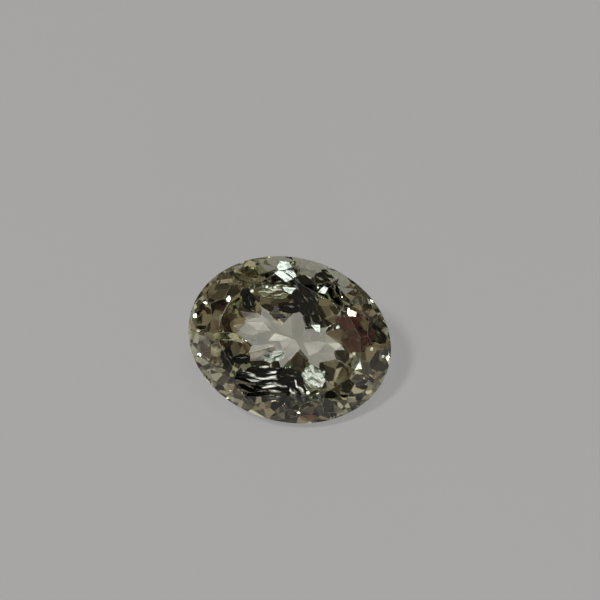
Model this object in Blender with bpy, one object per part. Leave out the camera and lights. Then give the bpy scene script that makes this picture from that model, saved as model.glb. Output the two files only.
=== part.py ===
"""A faceted oval tourmaline at its real size, lying tilted on one of its pavilion's facets.

The stone is one solid, cut as a lapidary cuts it: an oval rough is ground flat facet by facet, in tiers.
A facet's angle is its slope from the girdle plane, and its index is the direction that it faces, in degrees
round the oval from the right-hand end. The stone is cut with its long axis along X, its table up and its
girdle at Z 0. It is then laid on a broad facet at its front, next to the shallow ones that meet at its keel.
"""

import math
import random

import bmesh
import bpy
from mathutils import Matrix, Vector


def evenly(count, first_index):
    """The indices of a tier of facets at equal steps."""
    return [first_index + number * 360 / count for number in range(count)]


def mirrored(*quarter):
    """The indices of a tier that is given for one quarter and mirrored in both axes of the oval."""
    return sorted({turn % 360 for index in quarter for turn in (index, 180 - index, 180 + index, 360 - index)})


# Driving dimensions, in metres
LENGTH = 0.0100
WIDTH = 0.0080
GIRDLE_THICKNESS = 0.00022
CROWN_HEIGHT = 0.00100
STAR_DEPTH = 0.00034
KEEL_HALF_LENGTH = 0.00035

# Each tier of the crown: the facets' indices and their angle
CROWN_GIRDLE_TIER = (evenly(24, 7.5), 43.0)
CROWN_MAIN_TIER = (evenly(12, 0.0), 37.0)
STAR_TIER = (evenly(12, 15.0), 24.0)

# Each tier of the pavilion in the same way, with the share of the oval's size at which it begins
PAVILION_TIERS = (
    (evenly(24, 7.5), 56.0, 1.0),
    (evenly(24, 0.0), 50.0, 0.91),
    (evenly(24, 7.5), 45.0, 0.80),
    (mirrored(0, 28, 70), 40.5, 0.62),
)
PAVILION_MAIN_TIER = (mirrored(12, 45, 90), 33.0)
KEEL_TIER_SHARE = 0.23

# How far a facet of a stone cut by hand strays from its place, in degrees
ANGLE_SLIP = 0.4
INDEX_SLIP = 1.2
CUTTING_SEED = 17

# The index of the facet that the stone lies on
REST_INDEX = 290

GIRDLE_SIDES = 96
HALVINGS = 40
MERGE_DISTANCE = 2e-6
CUT_TOLERANCE = 1e-9

TOURMALINE_COLOUR = (0.56, 0.57, 0.42, 1.0)
TOURMALINE_ROUGHNESS = 0.02
TOURMALINE_IOR = 1.63


def clear_scene():
    for obj in list(bpy.data.objects):
        bpy.data.objects.remove(obj, do_unlink=True)


def tourmaline_material():
    material = bpy.data.materials.new("tourmaline")
    material.use_nodes = True
    shader = material.node_tree.nodes["Principled BSDF"]
    shader.inputs["Base Color"].default_value = TOURMALINE_COLOUR
    shader.inputs["Roughness"].default_value = TOURMALINE_ROUGHNESS
    shader.inputs["IOR"].default_value = TOURMALINE_IOR
    shader.inputs["Transmission Weight"].default_value = 1.0
    return material


def oval_point(index, share, height):
    """The point that faces an index on the oval shrunk to a share of the girdle's size."""
    half_length = share * LENGTH / 2
    half_width = share * WIDTH / 2
    turn = math.radians(index)
    reach = math.hypot(half_length * math.cos(turn), half_width * math.sin(turn))
    return Vector((half_length**2 * math.cos(turn) / reach, half_width**2 * math.sin(turn) / reach, height))


def facet_normal(index, angle, side):
    """The outward normal of a facet. side is 1 on the crown and -1 on the pavilion."""
    turn = math.radians(index)
    slope = math.radians(angle)
    return Vector((math.sin(slope) * math.cos(turn), math.sin(slope) * math.sin(turn), side * math.cos(slope)))


def height_on(facet, spot):
    """The height of a facet's plane above or below a spot."""
    point, normal = facet
    return point.z - ((spot.x - point.x) * normal.x + (spot.y - point.y) * normal.y) / normal.z


def tier(slips, plan, side, through):
    """The planes of a ring of facets, as points and normals. through(index) gives each one's point."""
    indices, angle = plan
    facets = []
    for index in indices:
        slipped_index = index + slips.uniform(-INDEX_SLIP, INDEX_SLIP)
        slipped_angle = angle + slips.uniform(-ANGLE_SLIP, ANGLE_SLIP)
        facets.append((through(index), facet_normal(slipped_index, slipped_angle, side)))
    return facets


def crown_facets(slips):
    """The girdle facets, the mains that reach down between them, the stars and the table."""
    girdle_top = GIRDLE_THICKNESS / 2
    table_height = girdle_top + CROWN_HEIGHT
    girdle_tier = tier(slips, CROWN_GIRDLE_TIER, 1, lambda index: oval_point(index, 1, girdle_top))

    def main_point(index):
        spot = oval_point(index, 1, girdle_top)
        return oval_point(index, 1, min(height_on(facet, spot) for facet in girdle_tier))

    mains = tier(slips, CROWN_MAIN_TIER, 1, main_point)

    def star_point(index):
        """The point at the stars' depth on the ridge between two mains."""
        inner, outer = 0.0, 1.0
        wanted = table_height - STAR_DEPTH
        for _ in range(HALVINGS):
            share = (inner + outer) / 2
            spot = oval_point(index, share, wanted)
            if min(height_on(facet, spot) for facet in mains) > wanted:
                inner = share
            else:
                outer = share
        return oval_point(index, inner, wanted)

    stars = tier(slips, STAR_TIER, 1, star_point)
    table = (Vector((0, 0, table_height)), Vector((0, 0, 1)))
    return girdle_tier + mains + stars + [table]


def pavilion_facets(slips):
    """The tiers below the girdle, each one shallower, and the mains that meet along the keel."""
    facets = []
    height = -GIRDLE_THICKNESS / 2
    ends = [share for *_, share in PAVILION_TIERS[1:]] + [KEEL_TIER_SHARE]
    for (indices, angle, share), end in zip(PAVILION_TIERS, ends):

        def tier_start(index, share=share, height=height):
            return oval_point(index, share, height)

        facets += tier(slips, (indices, angle), -1, tier_start)
        height -= (share - end) * WIDTH / 2 * math.tan(math.radians(angle))
    main_slope = math.tan(math.radians(PAVILION_MAIN_TIER[1]))
    keel_height = height - KEEL_TIER_SHARE * WIDTH / 2 * main_slope

    def keel_end(index):
        end = math.copysign(KEEL_HALF_LENGTH, math.cos(math.radians(index)))
        return Vector((end, 0, keel_height))

    return facets + tier(slips, PAVILION_MAIN_TIER, -1, keel_end)


def oval_rough():
    """An upright oval prism, taller than the finished stone."""
    rough = bmesh.new()
    bmesh.ops.create_cone(
        rough, cap_ends=True, segments=GIRDLE_SIDES, radius1=0.5, radius2=0.5, depth=WIDTH * 2
    )
    bmesh.ops.scale(rough, vec=(LENGTH, WIDTH, 1), verts=rough.verts)
    return rough


def grind(stone, facet):
    """Takes away all that lies outside a facet's plane, and closes the stone with the facet."""
    point, normal = facet
    everything = stone.verts[:] + stone.edges[:] + stone.faces[:]
    cut = bmesh.ops.bisect_plane(
        stone, geom=everything, dist=CUT_TOLERANCE, plane_co=point, plane_no=normal, clear_outer=True
    )
    rim = [item for item in cut["geom_cut"] if isinstance(item, bmesh.types.BMEdge)]
    bmesh.ops.contextual_create(stone, geom=rim)


def broadest_facet(stone, index):
    """The normal of the broadest pavilion facet that faces an index."""

    def faces_index(face):
        turn = math.atan2(face.normal.y, face.normal.x) - math.radians(index)
        return face.normal.z < 0 and math.cos(turn) > math.cos(math.radians(2 * INDEX_SLIP))

    return max(filter(faces_index, stone.faces), key=lambda face: face.calc_area()).normal.copy()


def lay_on(stone, normal):
    """Turns the stone so that a facet's normal points down, and puts its origin under its middle."""
    spin = Matrix.Rotation(-math.pi / 2 - math.atan2(normal.y, normal.x), 3, "Z")
    lean = Matrix.Rotation(math.acos(-normal.z), 3, "X")
    bmesh.ops.rotate(stone, cent=(0, 0, 0), matrix=lean @ spin, verts=stone.verts)
    lows = [min(vertex.co[axis] for vertex in stone.verts) for axis in range(3)]
    highs = [max(vertex.co[axis] for vertex in stone.verts) for axis in range(3)]
    middle = Vector(((lows[0] + highs[0]) / 2, (lows[1] + highs[1]) / 2, lows[2]))
    bmesh.ops.translate(stone, vec=-middle, verts=stone.verts)


def tourmaline():
    slips = random.Random(CUTTING_SEED)
    stone = oval_rough()
    for facet in crown_facets(slips) + pavilion_facets(slips):
        grind(stone, facet)
    bmesh.ops.remove_doubles(stone, verts=stone.verts, dist=MERGE_DISTANCE)
    bmesh.ops.recalc_face_normals(stone, faces=stone.faces)
    lay_on(stone, broadest_facet(stone, REST_INDEX))
    mesh = bpy.data.meshes.new("tourmaline")
    stone.to_mesh(mesh)
    stone.free()
    mesh.materials.append(tourmaline_material())
    return bpy.data.objects.new("tourmaline", mesh)


def main():
    clear_scene()
    collection = bpy.data.collections.new("faceted_tourmaline")
    bpy.context.scene.collection.children.link(collection)
    collection.objects.link(tourmaline())


main()
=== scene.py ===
"""The looks of the faceted tourmaline: its polished crystal, its inclusions, and a small studio."""
import math

import bmesh
import bpy
from mathutils import Matrix, Vector, noise
from mathutils.bvhtree import BVHTree


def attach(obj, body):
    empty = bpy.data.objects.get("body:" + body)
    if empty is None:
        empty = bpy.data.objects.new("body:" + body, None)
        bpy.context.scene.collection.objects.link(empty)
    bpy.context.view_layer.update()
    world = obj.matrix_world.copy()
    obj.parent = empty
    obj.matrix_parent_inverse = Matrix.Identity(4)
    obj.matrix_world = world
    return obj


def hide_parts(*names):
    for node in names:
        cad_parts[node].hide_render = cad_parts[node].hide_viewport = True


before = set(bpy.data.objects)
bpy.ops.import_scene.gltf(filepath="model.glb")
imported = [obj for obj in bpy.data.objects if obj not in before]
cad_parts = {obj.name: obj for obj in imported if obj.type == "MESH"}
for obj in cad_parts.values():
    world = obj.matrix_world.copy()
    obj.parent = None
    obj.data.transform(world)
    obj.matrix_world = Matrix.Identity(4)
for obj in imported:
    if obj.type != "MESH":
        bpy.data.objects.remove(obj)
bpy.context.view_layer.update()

# The view, measured in the photograph's 600 pixel frame, with lengths in metres and angles in degrees
IMAGE_SIZE = 600
FOCAL_PIXELS = 1800
STONE_CENTRE_PIXEL = (289.9, 339.2)
PIXEL = 0.0000495
MILLIMETRES_PER_PIXEL = PIXEL * 1000
VIEW_TURN = -3.8
VIEW_LIFT = 0.5
VIEW_LEFT = 0.5
NEAREST_SEEN = 0.001

# The crystal, in metres
TOURMALINE_IOR = 1.63
CRYSTAL_ABSORPTION = (0.56, 0.55, 0.20, 1.0)
CRYSTAL_DENSITY = 82.0
MERGE_DISTANCE = 1e-7
COPLANAR = math.radians(0.5)
WORN_EDGE_WIDTH = 0.000012
SHORTEST_WORN_EDGE = 0.00012
GIRDLE_SLOPE = 0.1
GRAIN_DEPTH = 0.00001

# The stone's materials, in the order of its slots
POLISHED, GROUND, WORN = range(3)

# Fractures in the photograph's frame: the middle's pixel, length, width and clockwise turn. The black of the
# feathers, the dark needle and the lower shadow is painted shade, a dark mirror tone in place of the dark
# surroundings they reflect
UPPER_FEATHER = ((304, 298), 38, 24, 62)
UPPER_LOBE = ((289, 308), 24, 11, 5)
SILVER_LAYERS = ((275, 291), 34, 16, 6)
LOWER_STREAKS = ((268, 380), 62, 28, 5)
LOWER_SHADOW = ((291, 377), 26, 17, 12)
LOWER_KNOT = ((298, 389), 19, 17, 60)
CRACKLED_FLAKE = ((314, 377), 25, 20, 40)
SILVER_SCRIBBLE = ((275, 356), 23, 11, -15)
DARK_NEEDLE = ((320, 370), 23, 2, 28)
PALE_NEEDLE = ((234, 340), 44, 1, 1)
RIGHT_STAIN = ((354, 331), 44, 34, 70)
LEFT_STAIN = ((225, 319), 26, 20, 80)
OLIVE_STAIN = ((246, 277), 36, 20, -20)
ORANGE_SPOT = ((309, 418), 18, 6, 0)
DARK_FEATHERS = (
    ((249, 301), 19, 14, 80),
    ((242, 359), 20, 10, 3),
    ((229, 357), 19, 9, 75),
)

# Flat plates in the same frame, by the pixels of their corners. The top plates, the blade, the two small
# plates and the lit triangle are mirrors for painted glints, the kite is painted brown shade, and the petals
# are mirror films of painted light
TOP_PLATES = (
    ((280, 261), (289, 262), (294, 271), (275, 270)),
    ((272, 271), (294, 270), (296, 277), (286, 282)),
)
WHITE_BLADE = ((282, 287), (296, 288), (291, 294), (285, 291))
RIGHT_GLINT_PLATE = ((318, 292), (324, 286), (328, 288), (325, 294))
EDGE_GLINT_PLATE = ((311, 325), (320, 325), (320, 332), (316, 331))
LIT_TRIANGLE = ((359, 356), (362, 369), (352, 370))
# The brown kite is painted shade: a brown film where a petal shows a darker view beyond the stone
BROWN_KITE = ((300, 349), (309, 360), (303, 368), (297, 369), (290, 361))
# These petals are painted light: mirror films that brighten them
BRIGHT_PETALS = (
    ((246, 322), (264, 322), (271, 331), (257, 330)),
    ((268, 341), (275, 333), (290, 338), (279, 341)),
    ((327, 343), (339, 343), (345, 350), (336, 350)),
)
PALE_PETALS = (
    ((232, 325), (246, 323), (257, 330), (268, 331), (252, 335), (243, 333)),
    ((240, 311), (257, 313), (268, 319), (275, 331), (264, 322), (247, 321)),
    ((250, 346), (268, 344), (283, 350), (268, 360), (250, 361)),
    ((279, 341), (290, 338), (295, 340), (283, 350)),
    ((295, 340), (300, 349), (290, 361), (284, 351)),
    ((303, 342), (318, 341), (327, 343), (318, 352), (309, 356)),
)
FAINT_PETALS = (
    ((275, 306), (291, 316), (292, 336), (275, 331), (268, 319)),
    ((304, 322), (312, 334), (312, 341), (303, 340)),
    ((318, 353), (336, 352), (343, 362), (329, 362)),
)

# Small glints in the same frame, each a small mirror plate that throws a painted glint: the pixel of each
# and its size
ROUND_GLINTS = (((228, 299), 5), ((195, 316), 4), ((199, 355), 4))
SOFT_GLINTS = (
    ((267, 287), 3), ((271, 288), 2), ((275, 287), 3), ((338, 327), 4), ((372, 349), 3),
    ((383, 356), 3), ((308, 393), 4), ((318, 395), 5), ((252, 291), 3), ((324, 372), 3),
)

# The depths of the inclusions under the facet they are seen through, and their ripples, in metres
SKIN_DEEP = 0.0002
SHALLOW = 0.0005
MIDDLE = 0.0010
DEEP = 0.0013
FLAT = 0.000001
RIPPLED = 0.000002
WAVY = 0.000003
UNEVEN = 0.00001
ROUGH = 0.00002

# The steps of a fracture's sheet, how ragged its rim is, and the corners of a chip
ALONG_STEPS = 80
ACROSS_STEPS = 64
RAGGEDNESS = 0.45
CHIP_CORNERS = 5

# The studio, in metres, with each light's direction in degrees right of the table's normal and above it
FLOOR_GAP = 0.0001
FLOOR_SIZE = 1.6
PAPER_TOOTH = 0.00002
LIGHT_DISTANCE = 0.5
LIGHT_BOUNCES = 32
KEY_LIGHT = (-22, 20)
FILL_LIGHT = (26, -10)
TOP_LIGHT = (8, 30)
LEFT_SPARK = (-31, -9)
LOW_SPARK = (13, -33)

# Each softbox: its name, direction, size in metres, power in watts and colour
SOFTBOXES = (
    ("key_softbox", KEY_LIGHT, 0.07, 1.0, (1.0, 0.99, 0.97)),
    ("fill_softbox", FILL_LIGHT, 0.12, 0.08, (1.0, 0.97, 0.93)),
    ("top_softbox", TOP_LIGHT, 0.05, 0.15, (0.95, 1.0, 0.98)),
    ("left_spark", LEFT_SPARK, 0.025, 0.05, (1.0, 1.0, 1.0)),
    ("low_spark", LOW_SPARK, 0.025, 0.05, (1.0, 1.0, 1.0)),
)

# The room's colour near the floor and overhead, where it is overhead, and its patches' brightness
ROOM_LOW = (0.36, 0.34, 0.29, 1)
ROOM_HIGH = (0.11, 0.09, 0.065, 1)
ROOM_HIGH_AT = 0.6
DIM_PATCH = 0.06
BRIGHT_PATCH = 2.4


def add_object(name, mesh):
    obj = bpy.data.objects.new(name, mesh)
    bpy.context.scene.collection.objects.link(obj)
    return obj


def new_material(name):
    """A node material, with its tree and its Principled shader."""
    material = bpy.data.materials.new(name)
    material.use_nodes = True
    return material, material.node_tree, material.node_tree.nodes["Principled BSDF"]


def noise_node(tree, scale, detail, stretch=(1.0, 1.0, 1.0), space="Object"):
    """A noise, its coordinates stretched along each axis."""
    place = tree.nodes.new("ShaderNodeTexCoord")
    mapping = tree.nodes.new("ShaderNodeMapping")
    texture = tree.nodes.new("ShaderNodeTexNoise")
    tree.links.new(place.outputs[space], mapping.inputs["Vector"])
    tree.links.new(mapping.outputs["Vector"], texture.inputs["Vector"])
    mapping.inputs["Scale"].default_value = stretch
    texture.inputs["Scale"].default_value = scale
    texture.inputs["Detail"].default_value = detail
    return texture.outputs["Fac"]


def map_range(tree, value, low, high, new_low, new_high):
    """A value's range from low to high, made new_low to new_high."""
    node = tree.nodes.new("ShaderNodeMapRange")
    tree.links.new(value, node.inputs["Value"])
    node.inputs["From Min"].default_value = low
    node.inputs["From Max"].default_value = high
    node.inputs["To Min"].default_value = new_low
    node.inputs["To Max"].default_value = new_high
    return node.outputs["Result"]


def two_tones(tree, value, balance, blur, dark, bright):
    """One colour below a balance and another above it."""
    ramp = tree.nodes.new("ShaderNodeValToRGB")
    tree.links.new(value, ramp.inputs["Fac"])
    stops = ramp.color_ramp.elements
    stops[0].position = balance - blur
    stops[0].color = dark + (1.0,)
    stops[1].position = balance + blur
    stops[1].color = bright + (1.0,)
    return ramp.outputs["Color"]


def add_bump(tree, shader, height, strength, distance):
    bump = tree.nodes.new("ShaderNodeBump")
    tree.links.new(height, bump.inputs["Height"])
    tree.links.new(bump.outputs["Normal"], shader.inputs["Normal"])
    bump.inputs["Strength"].default_value = strength
    bump.inputs["Distance"].default_value = distance


def crystal_material(name, roughness_low, roughness_high, grain_strength, clearness=1.0):
    """See-through tourmaline that absorbs blue most. Its roughness and its grain are those of one finish."""
    material, tree, shader = new_material(name)
    shader.inputs["Base Color"].default_value = (1.0, 1.0, 1.0, 1.0)
    shader.inputs["IOR"].default_value = TOURMALINE_IOR
    shader.inputs["Transmission Weight"].default_value = clearness
    smudges = noise_node(tree, 900.0, 3.0)
    roughness = map_range(tree, smudges, 0.35, 0.75, roughness_low, roughness_high)
    tree.links.new(roughness, shader.inputs["Roughness"])
    lap_lines = noise_node(tree, 2600.0, 2.0, (1.0, 7.0, 1.0))
    add_bump(tree, shader, lap_lines, grain_strength, GRAIN_DEPTH)
    absorption = tree.nodes.new("ShaderNodeVolumeAbsorption")
    absorption.inputs["Color"].default_value = CRYSTAL_ABSORPTION
    absorption.inputs["Density"].default_value = CRYSTAL_DENSITY
    tree.links.new(absorption.outputs["Volume"], tree.nodes["Material Output"].inputs["Volume"])
    return material


def banded_mirror_material(name, dark, bright, balance, roughness, gap_level, grain, stretch):
    """A mirror in bands of two tones, with gaps where it is closed, for a fracture's air film or a glint
    plate. Its dark tone is painted dark reflection, its bright tone the mirror's own.

    grain is the number of bands per millimetre across, and stretch is below 1 where they run along.
    """
    material, tree, shader = new_material(name)
    shader.inputs["Metallic"].default_value = 1.0
    bands = noise_node(tree, grain, 3.0, (stretch, 1.0, 1.0), "UV")
    tree.links.new(two_tones(tree, bands, balance, 0.05, dark, bright), shader.inputs["Base Color"])
    tone = map_range(tree, bands, 0.3, 0.7, roughness * 0.5, roughness * 1.5)
    tree.links.new(tone, shader.inputs["Roughness"])
    film = noise_node(tree, grain * 0.6, 4.0, (stretch, 1.0, 1.0), "UV")
    tree.links.new(map_range(tree, film, gap_level, gap_level + 0.03, 0.0, 1.0), shader.inputs["Alpha"])
    return material


def petal_light_mirror_material(name, low, high):
    """A faint bright mirror film that paints light into the window's petals, its strength from low to high.
    """
    material, tree, shader = new_material(name)
    shader.inputs["Metallic"].default_value = 1.0
    shader.inputs["Base Color"].default_value = (0.80, 0.80, 0.80, 1.0)
    shader.inputs["Roughness"].default_value = 0.15
    film = noise_node(tree, 2.0, 2.0, (0.4, 1.0, 1.0), "UV")
    tree.links.new(map_range(tree, film, 0.35, 0.65, low, high), shader.inputs["Alpha"])
    return material


def stain_and_shade_film_material(name, colour, strength, gap_level):
    """A thin rusty film in patches, also used as a film of painted brown shade."""
    material, tree, shader = new_material(name)
    shader.inputs["Roughness"].default_value = 0.6
    patches = noise_node(tree, 1400.0, 4.0)
    film = map_range(tree, patches, gap_level, gap_level + 0.22, 0.0, strength)
    tree.links.new(film, shader.inputs["Alpha"])
    deep_tone = tuple(value * 0.4 for value in colour)
    tree.links.new(two_tones(tree, patches, 0.5, 0.2, deep_tone, colour), shader.inputs["Base Color"])
    return material


def make_stone(node):
    """A copy of the node with each flat facet as one face, and its long edges a little worn."""
    facets = bmesh.new()
    facets.from_mesh(node.data)
    bmesh.ops.remove_doubles(facets, verts=facets.verts, dist=MERGE_DISTANCE)
    bmesh.ops.dissolve_limit(facets, angle_limit=COPLANAR, verts=facets.verts, edges=facets.edges)
    table_normal = max(facets.faces, key=lambda face: face.calc_area()).normal.copy()
    surface = BVHTree.FromBMesh(facets)
    for face in facets.faces:
        face.material_index = GROUND if abs(face.normal.dot(table_normal)) < GIRDLE_SLOPE else POLISHED

    def is_long(edge):
        ends = [other for vertex in edge.verts for other in vertex.link_edges]
        return min(other.calc_length() for other in ends) > SHORTEST_WORN_EDGE

    bmesh.ops.bevel(
        facets,
        geom=[edge for edge in facets.edges if is_long(edge)],
        offset=WORN_EDGE_WIDTH,
        offset_type="OFFSET",
        segments=1,
        profile=0.5,
        affect="EDGES",
        material=WORN,
    )
    mesh = bpy.data.meshes.new("polished_stone")
    facets.to_mesh(mesh)
    facets.free()
    mesh.shade_flat()
    mesh.materials.append(crystal_material("polished_tourmaline", 0.0, 0.012, 0.02))
    mesh.materials.append(crystal_material("ground_girdle", 0.22, 0.5, 0.5))
    mesh.materials.append(crystal_material("worn_edges", 0.15, 0.45, 0.3, 0.9))
    return add_object("polished_stone", mesh), table_normal, surface


def view_axes(table_normal):
    """The camera's right, up and backward axes, turned a little off the table's normal."""
    turn = math.radians(VIEW_TURN)
    level = Vector((1, 0, 0))
    uphill = table_normal.cross(level)
    right = level * math.cos(turn) + uphill * math.sin(turn)
    up = uphill * math.cos(turn) - level * math.sin(turn)
    lift = math.tan(math.radians(VIEW_LIFT))
    left = math.tan(math.radians(VIEW_LEFT))
    back = (table_normal + up * lift - right * left).normalized()
    up = (up - back * up.dot(back)).normalized()
    return up.cross(back), up, back


def aim(axes, light):
    """The direction towards a light, given by its angles right of the table's normal and above it."""
    right, up, back = axes
    rightward, upward = (math.tan(math.radians(angle)) for angle in light)
    return (back + right * rightward + up * upward).normalized()


def place_camera(axes, stone):
    """Puts the middle of the stone's outline on its pixel, at the photograph's scale."""
    middle = Vector((0, 0, 0))
    for axis in axes:
        reaches = [axis.dot(vertex.co) for vertex in stone.data.vertices]
        middle += axis * (min(reaches) + max(reaches)) / 2
    right, up, back = axes
    across = (IMAGE_SIZE / 2 - STONE_CENTRE_PIXEL[0]) * PIXEL
    above = (STONE_CENTRE_PIXEL[1] - IMAGE_SIZE / 2) * PIXEL
    data = bpy.data.cameras.new("photo_camera")
    data.lens = FOCAL_PIXELS * data.sensor_width / IMAGE_SIZE
    data.clip_start = NEAREST_SEEN
    camera = bpy.data.objects.new("photo_camera", data)
    bpy.context.scene.collection.objects.link(camera)
    eye = middle + back * FOCAL_PIXELS * PIXEL + right * across + up * above
    camera.matrix_world = Matrix.Translation(eye) @ Matrix((right, up, back)).transposed().to_4x4()
    bpy.context.scene.camera = camera
    return eye


def refract(ray, normal):
    """A ray's direction after it passes into the stone."""
    ratio = 1 / TOURMALINE_IOR
    facing = -ray.dot(normal)
    return (ray * ratio + normal * (ratio * facing - math.sqrt(1 - ratio**2 * (1 - facing**2)))).normalized()


class Facet:
    """The facet seen at a pixel, and the inside of the stone as it shows through it."""

    def __init__(self, eye, axes, surface, pixel):
        self.eye = eye
        self.axes = axes
        self.pixel = Vector(pixel)
        self.point, self.normal, _, _ = surface.ray_cast(eye, self.sight(pixel))

    def sight(self, pixel):
        right, up, back = self.axes
        across = (pixel[0] - IMAGE_SIZE / 2) / FOCAL_PIXELS
        below = (pixel[1] - IMAGE_SIZE / 2) / FOCAL_PIXELS
        return (right * across - up * below - back).normalized()

    def enter(self, pixel):
        """Where a pixel's ray meets the facet's plane, and its direction inside the stone."""
        ray = self.sight(pixel)
        reach = (self.point - self.eye).dot(self.normal) / ray.dot(self.normal)
        return self.eye + ray * reach, refract(ray, self.normal)

    def mirror(self, depth, light):
        """A place at a depth under the facet, and the normal with which a mirror there shows a light."""
        entry, ray = self.enter(self.pixel)
        glow = refract(-aim(self.axes, light), self.normal)
        return entry + ray * depth, -(ray + glow).normalized()

    def project(self, pixel, place, normal):
        """The point of a plane that is seen at a pixel."""
        entry, ray = self.enter(pixel)
        return entry + ray * ((place - entry).dot(normal) / ray.dot(normal))


def finish_inclusion(name, sheet, places, material):
    """A piece from a sheet and from the place on it, in millimetres, of each of its points."""
    layer = sheet.loops.layers.uv.new("along_and_across")
    for face in sheet.faces:
        for loop in face.loops:
            loop[layer].uv = places[loop.vert]
    mesh = bpy.data.meshes.new(name)
    sheet.to_mesh(mesh)
    sheet.free()
    mesh.shade_smooth()
    mesh.materials.append(material)
    piece = add_object(name, mesh)
    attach(piece, "root")


def make_fracture(name, under, shape, depth, light, ripples, height, material):
    """A thin sheet inside the stone, tilted so that it mirrors a light, with ripples of the given height."""
    pixel, length, width, turn = shape
    facet = under(pixel)
    axis = Vector((math.cos(math.radians(turn)), math.sin(math.radians(turn))))
    side = Vector((-axis.y, axis.x))
    seed = Vector((facet.pixel.x, facet.pixel.y, 0.0))
    place, normal = facet.mirror(depth, light)
    sheet = bmesh.new()
    grid = {}
    places = {}
    for i in range(ALONG_STEPS + 1):
        u = 2 * i / ALONG_STEPS - 1
        for j in range(ACROSS_STEPS + 1):
            v = 2 * j / ACROSS_STEPS - 1
            rim = 1 - abs(u) ** 2.4 - v * v
            if rim + RAGGEDNESS * noise.noise(Vector((u * 3.1, v * 2.3, 0)) + seed) < 0:
                continue
            along = u * length / 2
            across = v * width / 2
            spot = facet.pixel + axis * along + side * across
            swell = noise.noise(Vector((u * 1.6, v * 1.6, 3.0)) + seed)
            wave = math.sin(v * ripples * math.pi + 3.0 * swell + 1.2 * u)
            lift = height * (wave + 2.0 * swell)
            point = sheet.verts.new(facet.project(spot, place, normal) + normal * lift)
            grid[i, j] = point
            places[point] = (along * MILLIMETRES_PER_PIXEL, across * MILLIMETRES_PER_PIXEL + swell * 0.1)
    for i in range(ALONG_STEPS):
        for j in range(ACROSS_STEPS):
            corners = [grid.get(spot) for spot in ((i, j), (i + 1, j), (i + 1, j + 1), (i, j + 1))]
            if all(corners):
                sheet.faces.new(corners)
    loose = [point for point in sheet.verts if not point.link_faces]
    bmesh.ops.delete(sheet, geom=loose, context="VERTS")
    finish_inclusion(name, sheet, places, material)


def make_plates(name, under, outlines, depth, light, material):
    """Flat plates inside the stone, each tilted so that it mirrors a light."""
    sheet = bmesh.new()
    places = {}
    for outline in outlines:
        middle = sum((Vector(corner) for corner in outline), Vector((0, 0))) / len(outline)
        facet = under(middle)
        place, normal = facet.mirror(depth, light)
        rim = []
        for corner in outline:
            point = sheet.verts.new(facet.project(corner, place, normal))
            places[point] = Vector(corner) * MILLIMETRES_PER_PIXEL
            rim.append(point)
        sheet.faces.new(rim)
    finish_inclusion(name, sheet, places, material)


def chipped_outline(pixel, size):
    """The corners of an angular glint plate, size pixels across."""
    seed = Vector((pixel[0], pixel[1], 1.0))
    outline = []
    for number in range(CHIP_CORNERS):
        turn = math.tau * (number + 0.6 * noise.noise(seed + Vector((0, 0, number)))) / CHIP_CORNERS
        reach = size / 2 * (1 + 1.2 * noise.noise(seed + Vector((number * 1.7, 0, 4.0))))
        outline.append((pixel[0] + math.cos(turn) * reach, pixel[1] + math.sin(turn) * reach))
    return outline


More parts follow.
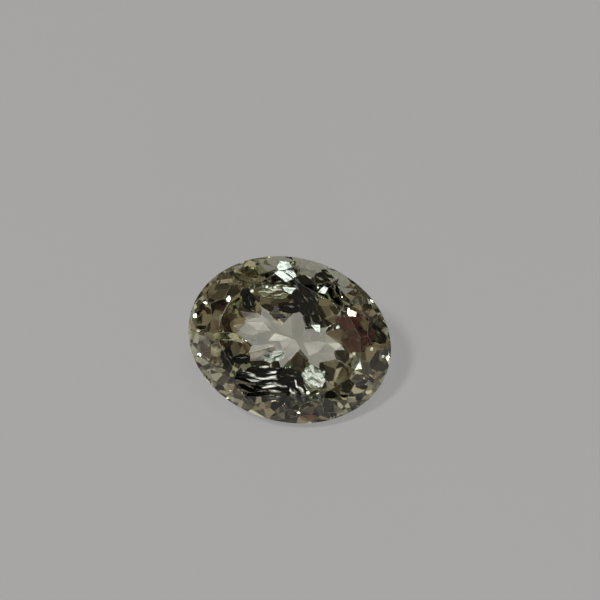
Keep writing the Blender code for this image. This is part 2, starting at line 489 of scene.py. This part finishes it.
def make_fractures(under):
    """The feathers, streaks, flakes and stains, each a sheet of its own. The black in the feathers and
    streaks is painted dark reflection.
    """
    # A near-black mirror tone: painted dark reflection, black under any light
    painted_black = (0.004, 0.005, 0.005)
    feathery = banded_mirror_material(
        "feathery_fracture_painted_dark", painted_black, (0.26, 0.29, 0.28),
        balance=0.62, roughness=0.15, gap_level=0.28, grain=7.0, stretch=0.2,
    )
    streaky = banded_mirror_material(
        "streaky_fracture_painted_dark", painted_black, (0.85, 0.90, 0.88),
        balance=0.54, roughness=0.12, gap_level=0.32, grain=5.0, stretch=0.16,
    )
    layered = banded_mirror_material(
        "layered_fracture", (0.10, 0.11, 0.06), (0.70, 0.76, 0.66),
        balance=0.52, roughness=0.15, gap_level=0.44, grain=7.0, stretch=0.3,
    )
    crackled = banded_mirror_material(
        "crackled_fracture", (0.16, 0.20, 0.18), (0.88, 0.98, 0.94),
        balance=0.48, roughness=0.18, gap_level=0.38, grain=4.0, stretch=0.6,
    )
    rusty = stain_and_shade_film_material("rusty_film", (0.16, 0.03, 0.02), strength=0.9, gap_level=0.30)
    pale_rust = stain_and_shade_film_material("pale_rust_film", (0.13, 0.04, 0.025), strength=0.6, gap_level=0.34)
    golden = stain_and_shade_film_material("golden_film", (0.24, 0.19, 0.05), strength=0.55, gap_level=0.36)
    orange = stain_and_shade_film_material("orange_film", (0.60, 0.27, 0.08), strength=0.9, gap_level=0.25)

    make_fracture("upper_feather", under, UPPER_FEATHER, DEEP, FILL_LIGHT, 3, RIPPLED, feathery)
    make_fracture("upper_lobe", under, UPPER_LOBE, DEEP, FILL_LIGHT, 2, RIPPLED, feathery)
    make_fracture("silver_layers", under, SILVER_LAYERS, MIDDLE, FILL_LIGHT, 3, RIPPLED, layered)
    make_fracture("lower_streaks", under, LOWER_STREAKS, DEEP, FILL_LIGHT, 3, WAVY, streaky)
    make_fracture("lower_shadow", under, LOWER_SHADOW, MIDDLE, FILL_LIGHT, 2, RIPPLED, feathery)
    make_fracture("lower_knot", under, LOWER_KNOT, MIDDLE, FILL_LIGHT, 2, WAVY, streaky)
    make_fracture("crackled_flake", under, CRACKLED_FLAKE, MIDDLE, FILL_LIGHT, 2, RIPPLED, crackled)
    make_fracture("silver_scribble", under, SILVER_SCRIBBLE, DEEP, FILL_LIGHT, 3, RIPPLED, crackled)
    make_fracture("dark_needle", under, DARK_NEEDLE, DEEP, FILL_LIGHT, 1, FLAT, feathery)
    make_fracture("pale_needle", under, PALE_NEEDLE, MIDDLE, FILL_LIGHT, 1, FLAT, crackled)
    make_fracture("right_stain", under, RIGHT_STAIN, MIDDLE, FILL_LIGHT, 2, ROUGH, rusty)
    make_fracture("left_stain", under, LEFT_STAIN, MIDDLE, FILL_LIGHT, 2, UNEVEN, pale_rust)
    make_fracture("olive_stain", under, OLIVE_STAIN, SHALLOW, FILL_LIGHT, 2, UNEVEN, golden)
    make_fracture("orange_spot", under, ORANGE_SPOT, SKIN_DEEP, FILL_LIGHT, 1, FLAT, orange)
    for number, shape in enumerate(DARK_FEATHERS, 1):
        make_fracture(f"dark_feather_{number}", under, shape, DEEP, FILL_LIGHT, 2, RIPPLED, feathery)


def make_all_plates(under):
    """The flat mirror plates and glints that throw painted glints, the brown kite of painted shade, and the
    mirror films that paint light into the window's petals.
    """
    plated = banded_mirror_material(
        "glint_mirror_plate", (0.30, 0.36, 0.34), (0.66, 0.76, 0.72),
        balance=0.46, roughness=0.10, gap_level=0.25, grain=4.0, stretch=0.6,
    )
    olive = stain_and_shade_film_material("painted_brown_shade_film", (0.10, 0.07, 0.025), strength=0.8, gap_level=0.12)
    petal_light_mirror = petal_light_mirror_material("petal_light_mirror", 0.2, 0.45)
    thin_petal_light_mirror = petal_light_mirror_material("thin_petal_light_mirror", 0.08, 0.22)
    faint_petal_light_mirror = petal_light_mirror_material("faint_petal_light_mirror", 0.02, 0.08)

    bright_plates = (WHITE_BLADE, RIGHT_GLINT_PLATE, EDGE_GLINT_PLATE, LIT_TRIANGLE)
    chips = [chipped_outline(pixel, size) for pixel, size in SOFT_GLINTS]
    sparks = [chipped_outline(pixel, size) for pixel, size in ROUND_GLINTS]
    # Mirror plates tilted to the lights, put in the stone only to throw painted glints
    make_plates("top_plates", under, TOP_PLATES, SKIN_DEEP, FILL_LIGHT, plated)
    make_plates("bright_plates", under, bright_plates, SHALLOW, FILL_LIGHT, plated)
    make_plates("soft_glints", under, chips, SHALLOW, FILL_LIGHT, plated)
    make_plates("round_glints", under, sparks, SHALLOW, KEY_LIGHT, plated)
    # A brown film of painted shade over one petal
    make_plates("brown_kite", under, (BROWN_KITE,), DEEP, FILL_LIGHT, olive)
    # Mirror films of painted light that brighten the window's petals
    make_plates("bright_petals", under, BRIGHT_PETALS, DEEP, FILL_LIGHT, petal_light_mirror)
    make_plates("pale_petals", under, PALE_PETALS, DEEP, FILL_LIGHT, thin_petal_light_mirror)
    make_plates("faint_petals", under, FAINT_PETALS, DEEP, FILL_LIGHT, faint_petal_light_mirror)


def make_inclusions(eye, axes, surface):
    """The fractures, plates and stains that the photograph shows inside the stone."""

    def under(pixel):
        return Facet(eye, axes, surface, pixel)

    make_fractures(under)
    make_all_plates(under)


def paper_material():
    """Pale paper with a faint tooth, lit a little from below as a light table is."""
    material, tree, shader = new_material("pale_paper")
    shader.inputs["Base Color"].default_value = (0.21, 0.21, 0.215, 1.0)
    shader.inputs["Roughness"].default_value = 0.8
    shader.inputs["Emission Color"].default_value = (1.0, 1.0, 1.0, 1.0)
    shader.inputs["Emission Strength"].default_value = 0.25
    add_bump(tree, shader, noise_node(tree, 1200.0, 3.0), 0.05, PAPER_TOOTH)
    return material


def make_floor():
    sheet = bmesh.new()
    bmesh.ops.create_grid(sheet, x_segments=1, y_segments=1, size=FLOOR_SIZE / 2)
    mesh = bpy.data.meshes.new("studio_floor")
    sheet.to_mesh(mesh)
    sheet.free()
    floor = add_object("studio_floor", mesh)
    floor.location.z = -FLOOR_GAP
    mesh.materials.append(paper_material())


def add_softbox(name, axes, light, size, power, colour):
    """A square light that faces the stone."""
    data = bpy.data.lights.new(name, "AREA")
    data.shape = "SQUARE"
    data.size = size
    data.energy = power
    data.color = colour
    lamp = bpy.data.objects.new(name, data)
    bpy.context.scene.collection.objects.link(lamp)
    lamp.location = aim(axes, light) * LIGHT_DISTANCE
    lamp.rotation_mode = "QUATERNION"
    lamp.rotation_quaternion = aim(axes, light).to_track_quat("Z", "Y")


def make_world():
    """A dim room, darker overhead, with soft patches as walls and furniture give it."""
    world = bpy.data.worlds.new("dim_room")
    bpy.context.scene.world = world
    world.use_nodes = True
    tree = world.node_tree
    place = tree.nodes.new("ShaderNodeTexCoord")
    split = tree.nodes.new("ShaderNodeSeparateXYZ")
    height = tree.nodes.new("ShaderNodeValToRGB")
    patches = tree.nodes.new("ShaderNodeTexNoise")
    mix = tree.nodes.new("ShaderNodeVectorMath")
    mix.operation = "SCALE"
    tree.links.new(place.outputs["Generated"], split.inputs["Vector"])
    tree.links.new(place.outputs["Generated"], patches.inputs["Vector"])
    tree.links.new(split.outputs["Z"], height.inputs["Fac"])
    tree.links.new(height.outputs["Color"], mix.inputs[0])
    contrast = map_range(tree, patches.outputs["Fac"], 0.42, 0.62, DIM_PATCH, BRIGHT_PATCH)
    tree.links.new(contrast, mix.inputs["Scale"])
    tree.links.new(mix.outputs["Vector"], tree.nodes["Background"].inputs["Color"])
    patches.inputs["Scale"].default_value = 4.0
    patches.inputs["Detail"].default_value = 1.0
    stops = height.color_ramp.elements
    stops[0].position = 0.0
    stops[0].color = ROOM_LOW
    stops[1].position = ROOM_HIGH_AT
    stops[1].color = ROOM_HIGH


def set_light_paths():
    """Enough bounces for light to leave the stone, and plain display colours."""
    scene = bpy.context.scene
    scene.cycles.max_bounces = LIGHT_BOUNCES
    scene.cycles.glossy_bounces = LIGHT_BOUNCES
    scene.cycles.transmission_bounces = LIGHT_BOUNCES
    scene.cycles.transparent_max_bounces = LIGHT_BOUNCES
    scene.view_settings.view_transform = "Standard"


def main():
    stone, table_normal, surface = make_stone(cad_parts["tourmaline"])
    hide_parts("tourmaline")
    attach(stone, "root")
    axes = view_axes(table_normal)
    eye = place_camera(axes, stone)
    make_inclusions(eye, axes, surface)
    make_floor()
    for name, light, size, power, colour in SOFTBOXES:
        add_softbox(name, axes, light, size, power, colour)
    make_world()
    set_light_paths()


main()
